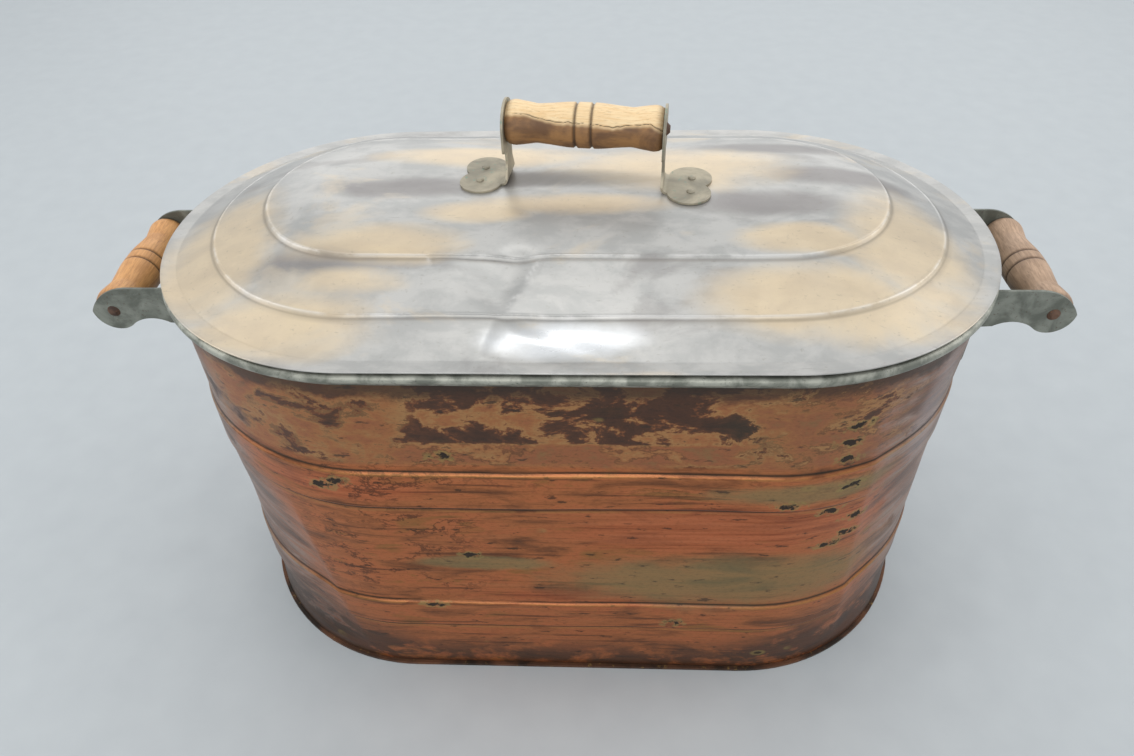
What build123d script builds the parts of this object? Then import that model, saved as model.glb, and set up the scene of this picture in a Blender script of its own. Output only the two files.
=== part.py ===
"""Oval copper wash boiler with a lift-off tinned lid and three turned wooden grips.

Millimetres, +Z up. The origin is the middle of the base, on the floor.
+X runs along the oval, from one side handle to the other, and -Y is the front.
"""

import os
from math import asin, cos, degrees, radians, sin, sqrt

from build123d import *

# The oval body
straight_half = 136.0  # half the distance between the centres of the two round ends
wall_radius = 156.0  # outside of the copper wall at the round ends
wall_sheet = 1.0
lid_edge_height = 337.0  # top of the lid's edge above the floor

# The two swaged bands that stiffen the wall
lower_band_low = 59.0  # from the floor to the lower band's lower edge
lower_band_width = 34.0
upper_band_drop = 94.0  # from the lid's edge to the upper band's upper edge
upper_band_width = 38.0
swage_rise = 1.8
swage_shoulder = 3.0

# The folded seam that holds the recessed bottom
bottom_sheet = 0.9
bottom_recess = 6.0  # from the floor up to the underside of the bottom
foot_flange = 2.3  # how far the wall's foot is turned out

# The folded seams at the two ends, inside the wall
seam_width = 9.0
seam_thickness = 1.8
seam_gap = 0.1
seam_above_bottom = 0.9
seam_top_below_flange = 3.0

# The rolled rim and its wire
rim_sheet = 0.8
wire_radius = 2.9
wire_gap = 0.1
rim_lap = 0.3  # how far the roll reaches in over the wall's top edge
rim_skirt = 8.9  # from the middle of the wire down to the edge of the rim band
rim_sides = 12  # flats round the hand-rolled rim
wire_sides = 6

# The lid
lid_overhang = 6.0  # from the outside of the wall out to the lid's edge
lid_sheet = 0.9
lid_hem = 1.9  # thickness of the folded edge
lid_hem_width = 4.0
lid_gap = 0.7  # between the folded edge and the rim
lid_border = 11.0
outer_ridge_inset = 39.6
outer_ridge_rise = 13.4
inner_ridge_inset = 79.9
inner_ridge_rise = 30.7
crown_rise = 7.5  # from the inner ridge up to the middle of the lid
crown_level = 25.0  # half the width of the level strip that carries the handle's feet
crown_flats = 2  # the curve beside that strip is drawn with this many flats
ridge_step = 3.0
ridge_step_run = 2.0
flange_depth = 20.0
flange_sheet = 0.9
flange_gap = 1.5  # between the lid's flange and the inside of the wall

# The turned grips
grip_length = 105.4
grip_radius = 15.0
neck_radius = 12.7
neck_place = 32.0  # from the middle of the grip
swell_place = 12.0
swell_radius = 14.7
shoulder_place = 47.0
grip_end_radius = 13.0
groove_place = 5.5
groove_depth = 1.5
groove_half_width = 1.2
bore_gap = 0.1
end_gap = 0.3

# The rods with their peened ends
rod_radius = 2.5
rod_hole_gap = 0.05
peen_radius = 4.6
peen_height = 2.4
head_flat = 0.5  # share of a hammered head that is flat on top

# The side handles
side_rod_out = 43.0  # from the outside of the wall to the rod
side_rod_drop = 36.0  # from the lid's edge down to the rod
ear_sheet = 2.0
ear_lobe = 16.0
ear_below_skirt = 1.0
ear_neck = 27.0  # depth of the ear at its narrowest
ear_neck_in = 19.5  # from the rod back to that neck
ear_flare = 30.0  # its depth where it has widened again
ear_flare_in = 39.0
ear_root = 42.0  # its depth at the wall
ear_shoulder_in = 15.0  # from the rod back to where the top edge starts to fall
plate_sheet = 1.6
plate_height = 66.0
plate_corner = 9.0

# The lid's handle
handle_height = 41.5  # from the middle of the lid up to the rod
handle_shift = 8.5  # the handle sits a little to the right of the middle
handle_turn = -6.5  # and is turned a little, in degrees
strap_sheet = 1.6
crown_radius = 17.0  # of the round top of the strap's ear
crown_drop = 1.0  # from the rod down to the middle of that round
crown_side = 16.0  # length of the ear's straight sides
crown_corner = 4.0
strap_neck_half = 8.0
strap_flare = 14.0  # height above the lid at which the neck starts to widen
strap_root_half = 13.0  # half the strap's width at its bend
foot_lobe_radius = 15.0
foot_lobe_out = 18.0  # from the strap out to the middle of the foot's lobes
foot_lobe_half_gap = 10.5
strap_bend = 3.0  # inside radius of the bend between strap and foot

# The rivets
rivet_radius = 1.6
rivet_head_radius = 3.4
rivet_head_height = 1.5
rivet_head_taper = 40
rivet_sides = 8
rivet_seat_gap = 0.15  # under the inner head, where the sheet is curved
side_rivet_angles = (-14.0, 14.0)
side_rivet_edge = 9.0  # from the plate's upper and lower edges to the rivets
foot_rivet_half_gap = 9.5
foot_rivet_out = 19.0

# What follows from those sizes
inner_radius = wall_radius - wall_sheet
lid_radius = wall_radius + lid_overhang
rim_radius = wire_radius + wire_gap + rim_sheet
rim_top = lid_edge_height - lid_hem - lid_gap
rim_middle = rim_top - rim_radius
rim_place = wall_radius + rim_radius - rim_lap
skirt_low = rim_middle - rim_skirt
wall_top = rim_middle - sqrt(rim_radius**2 - (rim_radius - rim_lap) ** 2)
wall_low = bottom_sheet
bands = (
    (lower_band_low, lower_band_low + lower_band_width),
    (lid_edge_height - upper_band_drop - upper_band_width, lid_edge_height - upper_band_drop),
)
flange_low = lid_edge_height - lid_sheet - flange_depth
lid_top = lid_edge_height + inner_ridge_rise + crown_rise
end_axis = Axis((straight_half, 0, 0), (0, 0, -1))
side_rod_x = straight_half + wall_radius + side_rod_out
side_rod_z = lid_edge_height - side_rod_drop
ear_inside = grip_length / 2 + end_gap
ear_outside = ear_inside + ear_sheet
ear_top = skirt_low - ear_below_skirt
plate_low = ear_top - plate_height
lid_rod_z = lid_top + handle_height
strap_outside = ear_inside + strap_sheet


def carry_round(whole=True):
    """Carries the section drawn at the right-hand end round the front of the oval, or all of it."""
    revolve(axis=end_axis, revolution_arc=90)
    cut_face = faces().filter_by(Axis.X).sort_by(Axis.X)[0]
    extrude(to_extrude=cut_face, amount=straight_half)
    mirror(about=Plane.YZ)
    if whole:
        mirror(about=Plane.XZ)


def swaged_line(radius, low, high):
    """The wall's line from low to high, standing out at each band."""
    points = [(straight_half + radius, low)]
    for band_low, band_high in bands:
        points += [
            (straight_half + radius, band_low),
            (straight_half + radius + swage_rise, band_low + swage_shoulder),
            (straight_half + radius + swage_rise, band_high - swage_shoulder),
            (straight_half + radius, band_high),
        ]
    points.append((straight_half + radius, high))
    return Polyline(*points)


def swaged_sheet(outer, thickness, low, high):
    """A closed outline of a sheet that follows the bands."""
    with BuildLine() as outline:
        out_line = swaged_line(outer, low, high)
        in_line = swaged_line(outer - thickness, low, high)
        Line(out_line @ 0, in_line @ 0)
        Line(out_line @ 1, in_line @ 1)
    make_face(outline.edges())


def side_rivet_planes(end, side=0):
    """Where the side handle's rivets stand on the wall: on one side of it, or on both."""
    planes = []
    for angle in side_rivet_angles:
        if side and angle * side < 0:
            continue
        out = Vector(end * cos(radians(angle)), sin(radians(angle)), 0)
        for height in (plate_low + side_rivet_edge, ear_top - side_rivet_edge):
            foot = Vector(end * straight_half, 0, height) + out * wall_radius
            planes.append(Plane(origin=foot, z_dir=out))
    return planes


def dome(crown, edge):
    """The outline of a hammered head, from its crown on the axis to its edge."""
    return Polyline(crown, (edge[0] * head_flat, crown[1]), edge)


def rivet(below, above):
    """One rivet through sheets that lie from below to above, with a hammered head on each side."""
    with BuildSketch(Plane.XY.offset(below)) as shank:
        RegularPolygon(rivet_radius, rivet_sides)
    extrude(shank.sketch, amount=above - below)
    for height, way in ((above, 1), (below, -1)):
        with BuildSketch(Plane.XY.offset(height)) as head:
            RegularPolygon(rivet_head_radius, rivet_sides)
        extrude(head.sketch, amount=way * rivet_head_height, taper=rivet_head_taper)


def turn_rod(plane, half_span):
    """A rod along the plane's Y axis, with a peened head outside each ear."""
    with BuildSketch(plane) as section:
        with BuildLine():
            tip = half_span + peen_height
            Line((0, -tip), (0, tip))
            dome((0, tip), (peen_radius, half_span))
            Polyline(
                (peen_radius, half_span),
                (rod_radius, half_span),
                (rod_radius, -half_span),
                (peen_radius, -half_span),
            )
            dome((0, -tip), (peen_radius, -half_span))
        make_face()
    revolve(section.sketch, axis=Axis(plane.origin, plane.y_dir))


def turn_grip(plane):
    """A grip turned about the plane's Y axis, with two grooves round its swell, and its bore."""
    half = grip_length / 2
    bore = rod_radius + bore_gap
    with BuildSketch(plane) as section:
        with BuildLine():
            profile = Spline(
                (grip_end_radius, -half),
                (grip_radius, -shoulder_place),
                (neck_radius, -neck_place),
                (swell_radius, -swell_place),
                (grip_radius, 0),
                (swell_radius, swell_place),
                (neck_radius, neck_place),
                (grip_radius, shoulder_place),
                (grip_end_radius, half),
            )
            Polyline(profile @ 0, (bore, -half), (bore, half), profile @ 1)
        make_face()
        for place in (-groove_place, groove_place):
            with BuildLine():
                Polyline(
                    (grip_radius - groove_depth, place),
                    (grip_radius + groove_depth, place - 2 * groove_half_width),
                    (grip_radius + groove_depth, place + 2 * groove_half_width),
                    close=True,
                )
            make_face(mode=Mode.SUBTRACT)
    revolve(section.sketch, axis=Axis(plane.origin, plane.y_dir))


# Copper wall, front half, with its foot turned out for the bottom seam
with BuildPart() as body_front_sheet:
    with BuildSketch(Plane.XZ):
        swaged_sheet(wall_radius, wall_sheet, wall_low, wall_top)
        with Locations((straight_half + inner_radius, wall_low)):
            Rectangle(wall_sheet + foot_flange, wall_sheet, align=(Align.MIN, Align.MIN))
    carry_round(whole=False)
    for end in (-1, 1):
        with Locations(*side_rivet_planes(end, -1)):
            Cylinder(rivet_radius, 4 * wall_sheet, mode=Mode.SUBTRACT)

# Copper wall, rear half
with BuildPart() as body_rear_sheet:
    mirror(body_front_sheet.part, about=Plane.XZ)


def end_seam(end):
    """The folded seam inside one end, following the bands."""
    outer = inner_radius - seam_gap
    with BuildPart() as seam:
        with BuildSketch(Plane.XZ):
            seam_low = bottom_recess + bottom_sheet + seam_above_bottom
            swaged_sheet(outer, seam_thickness, seam_low, flange_low - seam_top_below_flange)
        extrude(amount=seam_width / 2, both=True)
        if end < 0:
            mirror(about=Plane.YZ, mode=Mode.REPLACE)
    return seam


left_end_seam = end_seam(-1)
right_end_seam = end_seam(1)

# Recessed bottom, whose edge runs down inside the wall and folds over the wall's foot
with BuildPart() as bottom_pan:
    with BuildSketch(Plane.XZ):
        fold_out = inner_radius + wall_sheet + foot_flange
        fold_top = wall_low + wall_sheet
        bottom_top = bottom_recess + bottom_sheet
        with BuildLine():
            Polyline(
                (straight_half, bottom_recess),
                (straight_half, bottom_top),
                (straight_half + inner_radius, bottom_top),
                (straight_half + inner_radius, wall_low),
                (straight_half + fold_out, wall_low),
                (straight_half + fold_out, fold_top),
                (straight_half + wall_radius, fold_top),
                (straight_half + wall_radius, fold_top + bottom_sheet),
                (straight_half + fold_out + bottom_sheet, fold_top + bottom_sheet),
                (straight_half + fold_out + bottom_sheet, 0),
                (straight_half + inner_radius - bottom_sheet, 0),
                (straight_half + inner_radius - bottom_sheet, bottom_recess),
                close=True,
            )
        make_face()
    carry_round()

# Tinned rim band, rolled over the wire, with a skirt down the outside of the wall
with BuildPart() as rim_band:
    with BuildSketch(Plane.XZ):
        with Locations((straight_half + rim_place, rim_middle)):
            RegularPolygon(rim_radius, rim_sides)
        with Locations((straight_half + wall_radius, skirt_low)):
            Rectangle(rim_sheet, rim_skirt, align=(Align.MIN, Align.MIN))
        with Locations((straight_half + rim_place, rim_middle)):
            RegularPolygon(wire_radius + wire_gap, wire_sides, mode=Mode.SUBTRACT)
    carry_round()

# Iron wire inside the rim
with BuildPart() as rim_wire:
    with BuildSketch(Plane.XZ):
        with Locations((straight_half + rim_place, rim_middle)):
            RegularPolygon(wire_radius, wire_sides)
    carry_round()


def side_bracket(end):
    """A curved back plate with two drooping ears, pressed from one sheet."""
    with BuildPart() as bracket:
        with BuildSketch(Plane.XZ):
            with Locations((straight_half + wall_radius, plate_low)):
                Rectangle(plate_sheet, plate_height, align=(Align.MIN, Align.MIN))
        plate_angle = degrees(asin(ear_outside / (wall_radius + plate_sheet)))
        revolve(axis=end_axis, revolution_arc=plate_angle)
        corner = edges().filter_by(GeomType.LINE).group_by(Axis.Z)[0].sort_by(Axis.Y)[0]
        fillet(corner, plate_corner)
        with BuildSketch(Plane.XZ.offset(ear_outside)):
            x, z = side_rod_x, side_rod_z
            slant = ear_lobe / sqrt(2)
            with BuildLine():
                top = Line((straight_half, ear_top), (x - ear_shoulder_in, ear_top))
                crown = TangentArc(top @ 1, (x + ear_lobe, z), tangent=(1, 0))
                lobe = ThreePointArc(crown @ 1, (x, z - ear_lobe), (x - slant, z - slant))
                neck = ThreePointArc(
                    lobe @ 1,
                    (x - ear_neck_in, ear_top - ear_neck),
                    (x - ear_flare_in, ear_top - ear_flare),
                )
                Polyline(neck @ 1, (straight_half, ear_top - ear_root), top @ 0)
            make_face()
            with Locations((x, z)):
                Circle(rod_radius + rod_hole_gap, mode=Mode.SUBTRACT)
        extrude(amount=-ear_sheet)
        with Locations((straight_half, 0, plate_low)):
            Cylinder(
                wall_radius,
                2 * plate_height,
                align=(Align.CENTER, Align.CENTER, Align.MIN),
                mode=Mode.SUBTRACT,
            )
        mirror(about=Plane.XZ)
        if end < 0:
            mirror(about=Plane.YZ, mode=Mode.REPLACE)
        with Locations(*side_rivet_planes(end)):
            Cylinder(rivet_radius, 4 * plate_sheet, mode=Mode.SUBTRACT)
    return bracket


left_handle_bracket = side_bracket(-1)
right_handle_bracket = side_bracket(1)


def side_rivets(end):
    """The rivets that hold one side bracket, through its plate and the wall."""
    with BuildPart() as one:
        rivet(-wall_sheet - rivet_seat_gap, plate_sheet)
    with BuildPart() as rivets:
        with Locations(*side_rivet_planes(end)):
            add(one.part)
    return rivets


left_bracket_rivets = side_rivets(-1)
right_bracket_rivets = side_rivets(1)

# Rods and grips of the side handles
left_side_plane = Plane(origin=(-side_rod_x, 0, side_rod_z))
right_side_plane = Plane(origin=(side_rod_x, 0, side_rod_z))
with BuildPart() as left_handle_rod:
    turn_rod(left_side_plane, ear_outside)
with BuildPart() as right_handle_rod:
    turn_rod(right_side_plane, ear_outside)
with BuildPart() as left_grip:
    turn_grip(left_side_plane)
with BuildPart() as right_grip:
    turn_grip(right_side_plane)

# The lid's handle stands across this plane: its Y axis runs along the grip
along = Vector(cos(radians(handle_turn)), sin(radians(handle_turn)), 0)
across = along.cross(Vector(0, 0, 1))
lid_handle_plane = Plane(origin=(handle_shift, 0, lid_rod_z), x_dir=across, z_dir=(0, 0, 1))
foot_plane = Plane(origin=(handle_shift, 0, lid_top), x_dir=across, z_dir=(0, 0, 1))


def foot_rivet_planes(end):
    """Where the rivets of one foot of the lid's handle stand on the lid."""
    out = strap_outside + foot_rivet_out
    places = []
    for side in (-1, 1):
        spot = foot_plane.from_local_coords(Vector(side * foot_rivet_half_gap, end * out, 0))
        places.append(Plane(origin=spot, z_dir=(0, 0, 1)))
    return places


# The lid: a flat border with a folded edge, two pressed steps and a flat top
with BuildPart() as lid_shell:
    with BuildSketch(Plane.XZ):
        steps = (
            (lid_radius, 0),
            (lid_radius - lid_border, 0),
            (lid_radius - outer_ridge_inset + ridge_step_run, outer_ridge_rise - ridge_step),
            (lid_radius - outer_ridge_inset, outer_ridge_rise),
            (lid_radius - inner_ridge_inset + ridge_step_run, inner_ridge_rise - ridge_step),
            (lid_radius - inner_ridge_inset, inner_ridge_rise),
        )
        top_radius = lid_radius - inner_ridge_inset
        crown_points = [
            (crown_level + (top_radius - crown_level) * out, lid_top - crown_rise * out**2)
            for out in [1 - step / crown_flats for step in range(1, crown_flats + 1)]
        ]
        crown_points.append((0, lid_top))
        with BuildLine():
            for drop in (0, lid_sheet):
                Polyline(
                    *[(straight_half + r, lid_edge_height + rise - drop) for r, rise in steps],
                    *[(straight_half + r, height - drop) for r, height in crown_points],
                )
            Line((straight_half, lid_top), (straight_half, lid_top - lid_sheet))
            Line(
                (straight_half + lid_radius, lid_edge_height),
                (straight_half + lid_radius, lid_edge_height - lid_sheet),
            )
        make_face()
        with Locations((straight_half + lid_radius, lid_edge_height)):
            Rectangle(lid_hem_width, lid_hem, align=(Align.MAX, Align.MAX))
    carry_round()
    for end in (-1, 1):
        with Locations(*foot_rivet_planes(end)):
            Cylinder(rivet_radius, 4 * lid_sheet, mode=Mode.SUBTRACT)

# The flange under the lid that drops inside the mouth
with BuildPart() as lid_inner_flange:
    with BuildSketch(Plane.XZ):
        with Locations((straight_half + inner_radius - flange_gap, flange_low)):
            Rectangle(flange_sheet, flange_depth, align=(Align.MAX, Align.MIN))
    carry_round()


def lid_bracket(end):
    """A strap with a round ear for the rod, bent out into a foot with two lobes."""
    ear_plane = Plane(
        origin=lid_handle_plane.from_local_coords(Vector(0, end * ear_inside, 0)),
        x_dir=across * -end,
        z_dir=along * end,
    )
    with BuildPart() as bracket:
        with BuildSketch(ear_plane):
            with Locations((0, -crown_drop)):
                Circle(crown_radius)
                Rectangle(2 * crown_radius, crown_side, align=(Align.CENTER, Align.MAX))
            fillet(vertices().group_by(Axis.Y)[0], crown_corner)
            with BuildLine():
                bend_top = strap_bend + strap_sheet - handle_height
                neck_low = strap_flare - handle_height
                for side in (-1, 1):
                    Polyline(
                        (0, -handle_height),
                        (side * strap_root_half, -handle_height),
                        (side * strap_root_half, bend_top),
                        (side * strap_neck_half, neck_low),
                        (side * strap_neck_half, -crown_drop),
                        (0, -crown_drop),
                    )
            make_face()
            Circle(rod_radius + rod_hole_gap, mode=Mode.SUBTRACT)
        extrude(amount=strap_sheet)
        with BuildSketch(foot_plane):
            middle = end * (strap_outside + foot_lobe_out)
            with Locations((-foot_lobe_half_gap, middle), (foot_lobe_half_gap, middle)):
                Circle(foot_lobe_radius)
            with Locations((0, end * (ear_inside + strap_outside + foot_lobe_out) / 2)):
                Rectangle(2 * strap_root_half, strap_sheet + foot_lobe_out)
        extrude(amount=strap_sheet)
        for out, height, bend in (
            (strap_outside, strap_sheet, strap_bend),
            (ear_inside, 0, strap_bend + strap_sheet),
        ):
            corner = foot_plane.from_local_coords(Vector(0, end * out, height))
            fillet(edges().sort_by_distance(corner)[0], bend)
        with Locations(*foot_rivet_planes(end)):
            Cylinder(rivet_radius, 4 * strap_sheet, mode=Mode.SUBTRACT)
    return bracket


lid_bracket_left = lid_bracket(-1)
lid_bracket_right = lid_bracket(1)


def foot_rivets(end):
    """The two rivets that hold one foot to the lid."""
    with BuildPart() as one:
        rivet(-lid_sheet, strap_sheet)
    with BuildPart() as rivets:
        with Locations(*foot_rivet_planes(end)):
            add(one.part)
    return rivets


lid_rivets_left = foot_rivets(-1)
lid_rivets_right = foot_rivets(1)

with BuildPart() as lid_handle_rod:
    turn_rod(lid_handle_plane, strap_outside)
with BuildPart() as lid_grip:
    turn_grip(lid_handle_plane)

pieces = {
    "body_front_sheet": body_front_sheet,
    "body_rear_sheet": body_rear_sheet,
    "left_end_seam": left_end_seam,
    "right_end_seam": right_end_seam,
    "bottom_pan": bottom_pan,
    "rim_band": rim_band,
    "rim_wire": rim_wire,
    "left_handle_bracket": left_handle_bracket,
    "right_handle_bracket": right_handle_bracket,
    "left_bracket_rivets": left_bracket_rivets,
    "right_bracket_rivets": right_bracket_rivets,
    "left_handle_rod": left_handle_rod,
    "right_handle_rod": right_handle_rod,
    "left_grip": left_grip,
    "right_grip": right_grip,
    "lid_shell": lid_shell,
    "lid_inner_flange": lid_inner_flange,
    "lid_bracket_left": lid_bracket_left,
    "lid_bracket_right": lid_bracket_right,
    "lid_rivets_left": lid_rivets_left,
    "lid_rivets_right": lid_rivets_right,
    "lid_handle_rod": lid_handle_rod,
    "lid_grip": lid_grip,
}

os.makedirs("parts", exist_ok=True)
for name, piece in pieces.items():
    piece.part.label = name
    export_step(piece.part, f"parts/{name}.step")
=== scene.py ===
"""Looks of the oval copper boiler: dented tinned lid, stained copper wall, turned wooden grips."""

from math import cos, pi, radians, sin

import bmesh
import bpy
import numpy as np
from mathutils import Matrix, Vector


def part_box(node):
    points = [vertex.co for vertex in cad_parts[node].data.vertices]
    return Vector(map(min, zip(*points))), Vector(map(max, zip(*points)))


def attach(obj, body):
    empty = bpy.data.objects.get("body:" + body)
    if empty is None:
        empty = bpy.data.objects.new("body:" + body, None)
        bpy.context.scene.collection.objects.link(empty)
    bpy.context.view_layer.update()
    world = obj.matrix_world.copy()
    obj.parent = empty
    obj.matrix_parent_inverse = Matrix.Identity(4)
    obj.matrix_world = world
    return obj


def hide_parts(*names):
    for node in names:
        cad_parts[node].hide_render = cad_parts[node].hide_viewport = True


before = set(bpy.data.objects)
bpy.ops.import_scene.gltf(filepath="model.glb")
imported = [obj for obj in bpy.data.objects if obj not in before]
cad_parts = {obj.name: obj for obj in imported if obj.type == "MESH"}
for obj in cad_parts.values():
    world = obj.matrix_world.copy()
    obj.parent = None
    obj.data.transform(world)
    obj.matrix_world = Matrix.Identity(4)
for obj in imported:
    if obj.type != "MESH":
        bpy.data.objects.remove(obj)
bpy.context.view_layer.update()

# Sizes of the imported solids, in metres. The hem is drawn thinner than its solid
STRAIGHT = 0.136
WALL = 0.156
SHEET = 0.001
LID_EDGE = 0.337
LID_RADIUS = 0.162
LID_SHEET = 0.0009
HEM = 0.0014
BANDS = ((0.059, 0.093), (0.205, 0.243))
SWAGE_RISE = 0.0018
SWAGE_SHOULDER = 0.003
SIDE_ROD_X = 0.335
SIDE_ROD_Z = 0.301
ROD_RADIUS = 0.0025
GRIP_HALF = 0.0527
GRIP_RADIUS = 0.015
LID_TOP = 0.3752
LID_ROD = (0.0085, 0.0, 0.4167)
LID_TURN = radians(-6.5)
PERIMETER = 4 * STRAIGHT + 2 * pi * WALL
SEAM = PERIMETER / 4
MM = 0.001

# The camera, as the photograph was taken
CAMERA_PLACE = (0.0214, -0.5368, 0.6656)
CAMERA_YAW = -0.056
CAMERA_PITCH = 0.724
CAMERA_ROLL = -0.030
CAMERA_LENS = 26.84


def smooth(value, low, high):
    """0 below low and 1 above high, easing from one to the other."""
    t = np.clip((value - low) / (high - low), 0, 1)
    return t * t * (3 - 2 * t)


def bell(value, width):
    """1 at zero, falling away on both sides as a bell of that width."""
    return np.exp(-((value / width) ** 2))


def wobble(points, wavelength, seed, waves=14):
    """Smooth noise, mostly within -1 and 1: waves that run in seeded directions through the points."""
    random = np.random.default_rng(seed)
    total = np.zeros(points.shape[:-1])
    for _ in range(waves):
        direction = random.normal(size=3)
        direction /= np.linalg.norm(direction)
        pace = 2 * pi / (wavelength * random.uniform(0.7, 1.5))
        total += np.sin((points @ direction) * pace + random.uniform(0, 2 * pi))
    return total / np.sqrt(waves)


def oval(s, r):
    """The point at s round the oval from the middle of its front, and at r from its centre line."""
    s = (np.asarray(s) + PERIMETER / 2) % PERIMETER - PERIMETER / 2
    side = np.where(s < 0, -1.0, 1.0)
    run = np.abs(s)
    turn = np.clip((run - STRAIGHT) / WALL, 0, pi)
    along = np.where(run <= STRAIGHT, run, STRAIGHT)
    back = np.maximum(run - STRAIGHT - pi * WALL, 0)
    x = side * (along - back + r * np.sin(turn))
    y = -r * np.cos(turn)
    return x, y


def mesh_of(name, grid, uv, wrap_u=False, wrap_v=False, caps=False):
    """A smooth mesh over a grid of points, wrapped round in either direction or capped at its ends."""
    nu, nv = grid.shape[:2]
    index = np.arange(nu * nv).reshape(nu, nv)
    iu = np.arange(nu if wrap_u else nu - 1)
    iv = np.arange(nv if wrap_v else nv - 1)
    a = index[np.ix_(iu, iv)]
    b = index[np.ix_((iu + 1) % nu, iv)]
    c = index[np.ix_((iu + 1) % nu, (iv + 1) % nv)]
    d = index[np.ix_(iu, (iv + 1) % nv)]
    faces = np.stack([a, b, c, d], -1).reshape(-1, 4)
    face_list = faces.tolist()
    if caps:
        face_list.append(index[0].tolist())
        face_list.append(index[-1][::-1].tolist())
    mesh = bpy.data.meshes.new(name)
    mesh.from_pydata(grid.reshape(-1, 3).tolist(), [], face_list)
    layer = mesh.uv_layers.new(name="sheet")
    corner = np.empty(len(mesh.loops), dtype=np.int32)
    mesh.loops.foreach_get("vertex_index", corner)
    flat = uv.reshape(-1, 2)
    layer.data.foreach_set("uv", flat[corner].ravel())
    mesh.polygons.foreach_set("use_smooth", [True] * len(mesh.polygons))
    piece = bpy.data.objects.new(name, mesh)
    bpy.context.collection.objects.link(piece)
    mesh.update()
    return piece


# Looks: a small set of words for building node materials


def rgb(code):
    """A colour from its six-digit sRGB code."""
    parts = [int(code[i : i + 2], 16) / 255 for i in (0, 2, 4)]
    linear = [p / 12.92 if p <= 0.04045 else ((p + 0.055) / 1.055) ** 2.4 for p in parts]
    return (*linear, 1.0)


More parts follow.
